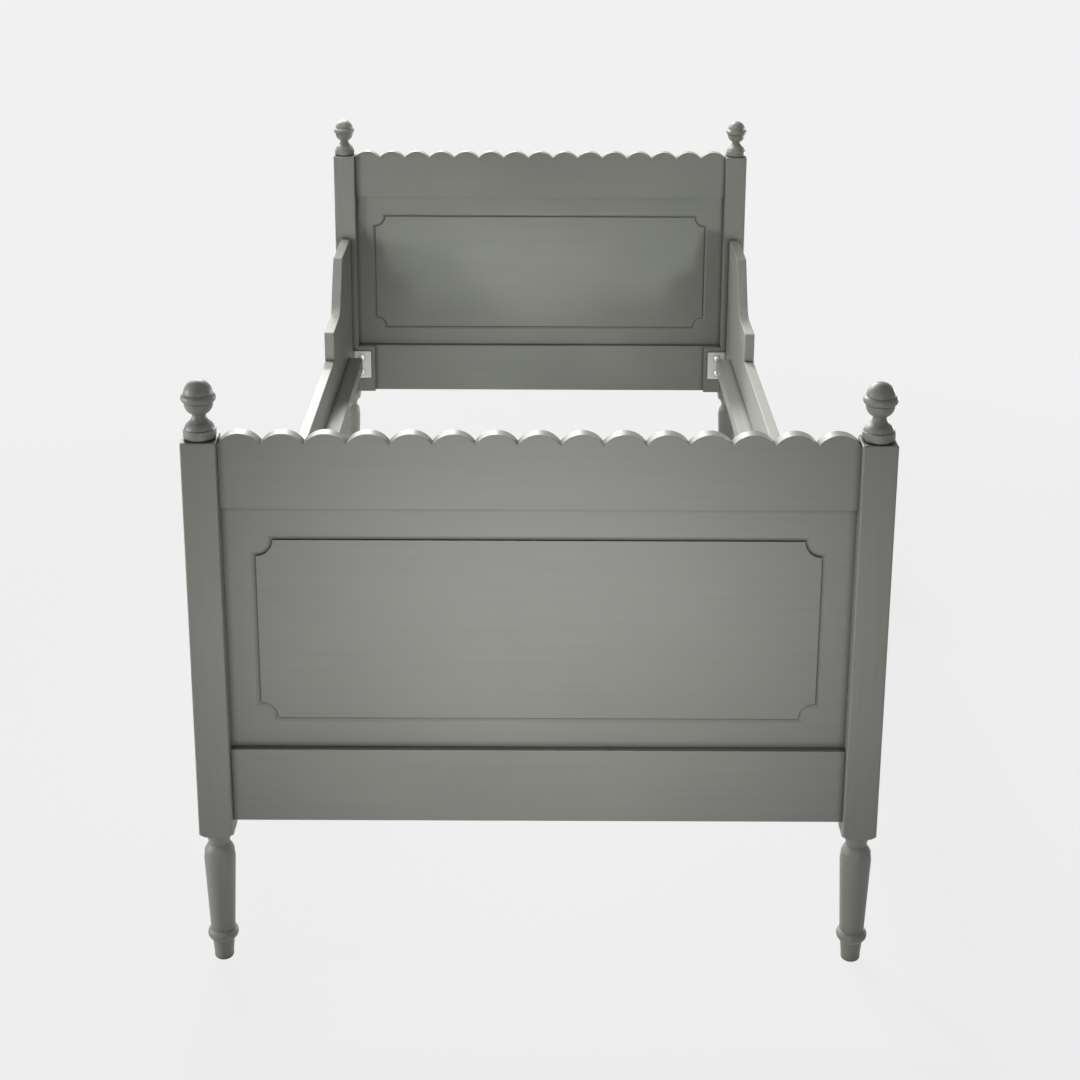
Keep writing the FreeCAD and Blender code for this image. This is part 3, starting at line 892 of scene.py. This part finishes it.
@dataclass
class EndRails:
    """Top and bottom rails of both ends, with eased edges, tenons and panel grooves."""

    half_run: float = 0.45
    board_from_end: float = 0.014
    thickness: float = 0.022
    half_length: float = 1.055
    valley: float = 0.827
    top_low: float = 0.7315
    scallops: int = 15
    scallop_rise: float = 0.016
    scallop_merge: float = 1e-4
    arc_sides: int = 104
    flat_angle: float = 0.01
    bottom_low: float = 0.238
    bottom_top: float = 0.354
    tenon_length: float = 0.03
    tenon_thickness: float = 0.01
    tenon_inset: float = 0.011
    top_tenon_inset: float = 0.036
    groove_from_front: float = 0.0119
    groove_width: float = 0.0082
    groove_depth: float = 0.008
    eased: float = 0.0009
    over: float = 0.005

    @property
    def front(self) -> float:
        """Outer side of the foot end's boards."""
        return self.board_from_end - self.half_length

    @property
    def back(self) -> float:
        """Inner side of the foot end's boards."""
        return self.front + self.thickness

    def add_tenons(self, rail: Workpiece, low: float, high: float) -> None:
        """Unite a tenon with each end of a rail.

        Args:
            rail: The rail.
            low: Lower side of the tenon.
            high: Upper side of the tenon.
        """
        middle = (self.front + self.back) / 2
        half = self.tenon_thickness / 2
        for side in (-1, 1):
            ends = sorted((side * (self.half_run - self.over), side * (self.half_run + self.tenon_length)))
            tenon = Workpiece.block("tenon", (ends[0], middle - half, low), (ends[1], middle + half, high))
            rail.join(tenon, Join.UNITE)

    def cut_groove(self, rail: Workpiece, low: float, high: float) -> None:
        """Cut the panel's groove along a rail.

        Args:
            rail: The rail.
            low: Lower side of the groove.
            high: Upper side of the groove.
        """
        reach = self.half_run + self.over
        near = self.front + self.groove_from_front
        groove = Workpiece.block("groove", (-reach, near, low), (reach, near + self.groove_width, high))
        rail.join(groove, Join.CUT)

    def top_rail(self) -> Workpiece:
        """Top rail of the foot end: one scallop's outline repeated, thickened and eased.

        Returns:
            The rail.
        """
        pitch = 2 * self.half_run / self.scallops
        radius = ((pitch / 2) ** 2 + self.scallop_rise ** 2) / (2 * self.scallop_rise)
        height = self.valley + self.scallop_rise - radius
        bpy.ops.object.select_all(action="DESELECT")
        bpy.ops.mesh.primitive_circle_add(
            vertices=self.arc_sides, radius=radius, fill_type="NGON",
            location=(pitch / 2 - self.half_run, self.front, height), rotation=(math.pi / 2, 0.0, 0.0),
        )
        rail = Workpiece.take("foot_top_rail_scalloped")
        rail.pick(Element.FACE, lambda middle, way: True)
        bpy.ops.mesh.bisect(plane_co=(0.0, 0.0, self.valley), plane_no=(0.0, 0.0, 1.0), clear_inner=True)
        rail.close()
        rail.pick(Element.EDGE, lambda middle, way: middle.z < self.valley + TOUCH)
        drop = self.top_low - self.valley
        bpy.ops.mesh.extrude_region_move(TRANSFORM_OT_translate={"value": (0.0, 0.0, drop)})
        rail.close()
        rail.apply(
            "ARRAY", count=self.scallops, use_relative_offset=False, use_constant_offset=True,
            constant_offset_displace=(pitch, 0.0, 0.0), use_merge_vertices=True,
            merge_threshold=self.scallop_merge,
        )
        rail.tidy()
        rail.pick(Element.FACE, lambda middle, way: True)
        bpy.ops.mesh.dissolve_limited(angle_limit=self.flat_angle)
        bpy.ops.mesh.select_all(action="SELECT")
        bpy.ops.mesh.extrude_region_move(TRANSFORM_OT_translate={"value": (0.0, self.thickness, 0.0)})
        rail.close()
        rail.tidy()
        rail.ease(self.eased)
        self.cut_groove(rail, self.top_low - self.over, self.top_low + self.groove_depth)
        self.add_tenons(rail, self.top_low + self.tenon_inset, self.valley - self.top_tenon_inset)
        return rail

    def bottom_rail(self) -> Workpiece:
        """Bottom rail of the foot end.

        Returns:
            The rail.
        """
        low = (-self.half_run, self.front, self.bottom_low)
        rail = Workpiece.block("foot_bottom_rail_eased", low, (self.half_run, self.back, self.bottom_top))
        rail.ease(self.eased)
        self.cut_groove(rail, self.bottom_top - self.groove_depth, self.bottom_top + self.over)
        self.add_tenons(rail, self.bottom_low + self.tenon_inset, self.bottom_top - self.tenon_inset)
        return rail

    def build(self, finishes: "Finishes") -> None:
        """Make both rails of the foot end, and their mirror images at the head.

        Args:
            finishes: The bed's finishes.
        """
        over_there = Matrix.Scale(-1.0, 4, (0.0, 1.0, 0.0))
        for kind, rail in (("top_rail", self.top_rail()), ("bottom_rail", self.bottom_rail())):
            other = rail.copy(rail.name.replace("foot", "head"), over_there)
            for piece, end in ((rail, "foot_"), (other, "head_")):
                piece.finish(finishes.paint(end + kind, Grain.ACROSS), "painted_wood", end + kind)


# The ironwork


@dataclass
class AngleBracket:
    """Steel angle bracket: an upright plate with a short arm bent back along the side rail."""

    corner_x: float = -0.464
    face_y: float = -1.005
    low: float = 0.2735
    width: float = 0.045
    height: float = 0.069
    gauge: float = 0.003
    arm_length: float = 0.062
    arm_height: float = 0.022
    bend: float = 0.0024
    corner_round: float = 0.0025
    round_steps: int = 5
    rim: float = 0.0005
    bolt_offset: float = 0.022
    bolt_edge: float = 0.016
    bolt_hole: float = 0.0031
    screw_first: float = 0.022
    screw_pitch: float = 0.026
    screw_hole: float = 0.0047

    def round_corners(self, piece: Workpiece, axis: int, test: Callable[[Vector], bool]) -> None:
        """Round the corners of a plate where its short edges run along one axis.

        Args:
            piece: The plate.
            axis: The axis, 0 for X and 1 for Y.
            test: Says by its middle whether an edge is rounded.
        """
        piece.pick(Element.EDGE, lambda middle, way: abs(way[axis]) > ALONG and test(middle))
        bpy.ops.mesh.bevel(offset=self.corner_round, segments=self.round_steps, affect="EDGES")
        piece.close()

    def drill(self, plate: Workpiece, radius: float, place: tuple, turn: Matrix) -> None:
        """Drill a hole through the steel.

        Args:
            plate: The bracket.
            radius: Radius of the hole.
            place: Where its axis meets the outer side of the steel.
            turn: Turn of the drill from upright.
        """
        hole = Workpiece.rod("hole", radius, (0.0, 0.0, -2 * self.gauge), 4 * self.gauge)
        hole.thing.data.transform(Matrix.Translation(place) @ turn)
        plate.join(hole, Join.CUT)

    def bolt_places(self) -> list[tuple[float, float]]:
        """Across and height of each bolt."""
        across = self.corner_x + self.bolt_offset
        return [(across, self.low + self.bolt_edge), (across, self.low + self.height - self.bolt_edge)]

    def screw_places(self) -> list[tuple[float, float]]:
        """Find the screws in the arm.

        Returns:
            Place along the bed and height of each screw.
        """
        height = self.low + self.arm_height / 2
        first = self.face_y + self.screw_first
        return [(first, height), (first + self.screw_pitch, height)]

    def model(self) -> Workpiece:
        """Make the foot end's left bracket.

        Returns:
            The bracket.
        """
        left, near, low = self.corner_x, self.face_y, self.low
        right, top = left + self.width, low + self.height
        inner_x, inner_y, arm_top = left + self.gauge, near + self.gauge, low + self.arm_height
        plate = Workpiece.block("bracket", (left, near, low), (right, inner_y, top))
        self.round_corners(plate, 1, lambda middle: middle.x > inner_x or middle.z > low + self.gauge)
        arm = Workpiece.block("arm", (left, near, low), (inner_x, near + self.arm_length, arm_top))
        self.round_corners(arm, 0, lambda middle: middle.y > inner_y)
        plate.join(arm, Join.UNITE)
        plate.pick(Element.EDGE, lambda middle, way: abs(way.z) > ALONG and middle.z < arm_top
                   and abs(middle.x - inner_x) < TOUCH and abs(middle.y - inner_y) < TOUCH)
        bpy.ops.mesh.bevel(offset=self.bend, segments=self.round_steps, affect="EDGES")
        plate.close()
        for across, height in self.bolt_places():
            self.drill(plate, self.bolt_hole, (across, near, height), Matrix.Rotation(math.pi / 2, 4, "X"))
        for along, height in self.screw_places():
            self.drill(plate, self.screw_hole, (left, along, height), Matrix.Rotation(math.pi / 2, 4, "Y"))
        plate.ease(self.rim)
        return plate


@dataclass
class SocketBolt:
    """Round-head bolt with a six-sided socket, standing on the XY plane with its head up."""

    head_radius: float = 0.0072
    head_height: float = 0.0046
    head_round: float = 0.0039
    round_steps: int = 6
    sides: int = 48
    socket_radius: float = 0.0024
    socket_depth: float = 0.0022
    socket_sides: int = 6
    shank_radius: float = 0.003
    shank_length: float = 0.029
    point_length: float = 0.0012

    def model(self) -> Workpiece:
        """Make the bolt.

        Returns:
            The bolt.
        """
        bolt = Workpiece.rod("bolt", self.head_radius, (0.0, 0.0, 0.0), self.head_height, self.sides)
        bolt.pick(Element.EDGE, lambda middle, way: middle.z > self.head_height - TOUCH)
        bpy.ops.mesh.bevel(offset=self.head_round, segments=self.round_steps, affect="EDGES")
        bolt.close()
        bolt.pick(Element.FACE, lambda middle, way: way.z < -ALONG)
        bpy.ops.mesh.inset(thickness=self.head_radius - self.shank_radius)
        bpy.ops.mesh.extrude_region_move(TRANSFORM_OT_translate={"value": (0.0, 0.0, -self.shank_length)})
        bpy.ops.mesh.bevel(offset=self.point_length / 2, segments=1, affect="EDGES")
        bolt.close()
        floor = (0.0, 0.0, self.head_height - self.socket_depth)
        socket = Workpiece.rod("socket", self.socket_radius, floor, self.head_height, self.socket_sides)
        bolt.join(socket, Join.CUT)
        return bolt


@dataclass
class CrossScrew:
    """Flush screw with a cross recess, its head's flat on the XY plane and its point down."""

    length: float
    head_radius: float = 0.0046
    shank_radius: float = 0.0025
    head_height: float = 0.0028
    sides: int = 32
    slot_length: float = 0.0046
    slot_width: float = 0.0009
    slot_depth: float = 0.0013
    point_length: float = 0.006
    point_share: float = 0.12

    def model(self) -> Workpiece:
        """Make the screw.

        Returns:
            The screw.
        """
        bpy.ops.object.select_all(action="DESELECT")
        bpy.ops.mesh.primitive_cone_add(
            vertices=self.sides, radius1=self.shank_radius, radius2=self.head_radius,
            depth=self.head_height, location=(0.0, 0.0, -self.head_height / 2),
        )
        screw = Workpiece.take("screw")
        screw.pick(Element.FACE, lambda middle, way: way.z < -ALONG)
        straight = self.point_length + self.head_height - self.length
        bpy.ops.mesh.extrude_region_move(TRANSFORM_OT_translate={"value": (0.0, 0.0, straight)})
        bpy.ops.mesh.extrude_region_move(TRANSFORM_OT_translate={"value": (0.0, 0.0, -self.point_length)})
        share, tip = self.point_share, (0.0, 0.0, -self.length)
        bpy.ops.transform.resize(value=(share, share, 1.0), center_override=tip)
        screw.close()
        half, wide, deep = self.slot_length / 2, self.slot_width / 2, self.slot_depth
        cross = Workpiece.block("slot", (-half, -wide, -deep), (half, wide, deep))
        cross.join(Workpiece.block("slot", (-wide, -half, -deep), (wide, half, deep)), Join.UNITE)
        screw.join(cross, Join.CUT)
        return screw


@dataclass
class Ironwork:
    """The brackets in the bed's corners with their bolts and screws, and the ledgers' screws."""

    ledger_face: float = 0.431
    ledger_screws: int = 8
    ledger_screw_reach: float = 0.831
    ledger_screw_height: float = 0.34
    ledger_screw_length: float = 0.047
    bracket_screw_length: float = 0.019

    def corners(self) -> list[tuple[str, Matrix]]:
        """Find the bed's corners.

        Returns:
            Name of each bracket and the mirroring that takes the foot end's left corner to its own.
        """
        found = []
        for end in End:
            for side, turn in (("left", 1.0), ("right", -1.0)):
                name = end.name.lower() + "_bracket_" + side
                found.append((name, Matrix.Diagonal((turn, -end.value, 1.0, 1.0))))
        return found

    def brackets(self, finishes: "Finishes") -> None:
        """Make the four brackets.

        Args:
            finishes: The bed's finishes.
        """
        first = AngleBracket().model()
        for name, place in self.corners():
            first.copy(name + "_bent", place).finish(finishes.plate, "zinc_plate", name)
        first.drop()

    def spread(self, first: Workpiece, name: str, places: list[Matrix], finishes: "Finishes") -> None:
        """Copy a fastener to its places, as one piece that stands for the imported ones.

        Args:
            first: The fastener.
            name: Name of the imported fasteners.
            places: Where the copies go.
            finishes: The bed's finishes.
        """
        copies = [first.copy(f"{name}_{index}", place) for index, place in enumerate(places)]
        copies[0].gather(copies[1:])
        copies[0].thing.name = copies[0].name = name + "_detailed"
        first.drop()
        copies[0].finish(finishes.steel, "steel_fasteners", name)

    def build(self, finishes: "Finishes") -> None:
        """Make the brackets and every bolt and screw that shows.

        Args:
            finishes: The bed's finishes.
        """
        self.brackets(finishes)
        bracket = AngleBracket()
        seat = bracket.face_y + bracket.gauge
        face = bracket.corner_x + bracket.gauge
        facing_in = Matrix.Rotation(-math.pi / 2, 4, "X")
        facing_right = Matrix.Rotation(math.pi / 2, 4, "Y")
        bolts, screws, ledgers = [], [], []
        for _, corner in self.corners():
            for across, height in bracket.bolt_places():
                bolts.append(corner @ Matrix.Translation((across, seat, height)) @ facing_in)
            for along, height in bracket.screw_places():
                screws.append(corner @ Matrix.Translation((face, along, height)) @ facing_right)
        for turn in (1.0, -1.0):
            side = Matrix.Diagonal((turn, 1.0, 1.0, 1.0))
            for index in range(self.ledger_screws):
                along = (2 * index / (self.ledger_screws - 1) - 1) * self.ledger_screw_reach
                place = (-self.ledger_face, along, self.ledger_screw_height)
                ledgers.append(side @ Matrix.Translation(place) @ facing_right)
        self.spread(SocketBolt().model(), "bracket_bolts", bolts, finishes)
        self.spread(CrossScrew(self.bracket_screw_length).model(), "bracket_screws", screws, finishes)
        self.spread(CrossScrew(self.ledger_screw_length).model(), "ledger_screws", ledgers, finishes)


# The bed


class Finishes:
    """The bed's finishes: a coat of paint for each piece, bare wood and plated steel."""

    first_seed: float = 10.0
    seed_step: float = 1.7

    def __init__(self) -> None:
        """Build the shared effects and the finishes that several pieces have."""
        self.effects = Effects()
        self.raw = RawWood().build(self.effects)
        self.plate = DullPlating().build(self.effects)
        self.steel = BrightPlating().build(self.effects)
        self.nodes = sorted(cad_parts)

    def paint(self, node: str, grain: Grain) -> bpy.types.Material:
        """Paint for one piece, with strokes of its own along its grain."""
        seed = self.first_seed + self.seed_step * self.nodes.index(node)
        return SatinPaint("paint_" + node, grain, seed).build(self.effects)


@dataclass
class PlainPieces:
    """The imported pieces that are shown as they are, dressed in their finishes."""

    remade: tuple[str, ...] = ("top_rail", "bottom_rail", "_bracket_", "bolts", "screws")
    lengthwise: tuple[str, ...] = ("side_rail", "ledger", "wing")
    across: tuple[str, ...] = ("panel",)

    def grain(self, node: str) -> Grain:
        """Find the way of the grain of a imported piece.

        Args:
            node: Name of the piece.

        Returns:
            The way.
        """
        if any(part in node for part in self.across):
            return Grain.ACROSS
        if any(part in node for part in self.lengthwise):
            return Grain.LENGTHWISE
        return Grain.UPRIGHT

    def dress(self, node: str, material: bpy.types.Material) -> None:
        """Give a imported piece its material.

        Args:
            node: Name of the piece.
            material: The material.
        """
        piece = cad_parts[node]
        piece.data.materials.clear()
        piece.data.materials.append(material)
        log.info("%s dressed in %s", node, material.name)

    def build(self, finishes: Finishes) -> None:
        """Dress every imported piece. Those that are made anew are hidden later.

        Args:
            finishes: The bed's finishes.
        """
        for node in finishes.nodes:
            if any(part in node for part in self.remade):
                self.dress(node, finishes.plate)
            elif "dowels" in node:
                self.dress(node, finishes.raw)
            else:
                self.dress(node, finishes.paint(node, self.grain(node)))


def main() -> None:
    """Build the studio and the bed in order."""
    logging.basicConfig(level=logging.INFO, format="%(name)s: %(message)s")
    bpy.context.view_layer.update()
    Studio().build()
    Camera().build()
    finishes = Finishes()
    PlainPieces().build(finishes)
    EndRails().build(finishes)
    Ironwork().build(finishes)


if __name__ == "__main__":
    main()
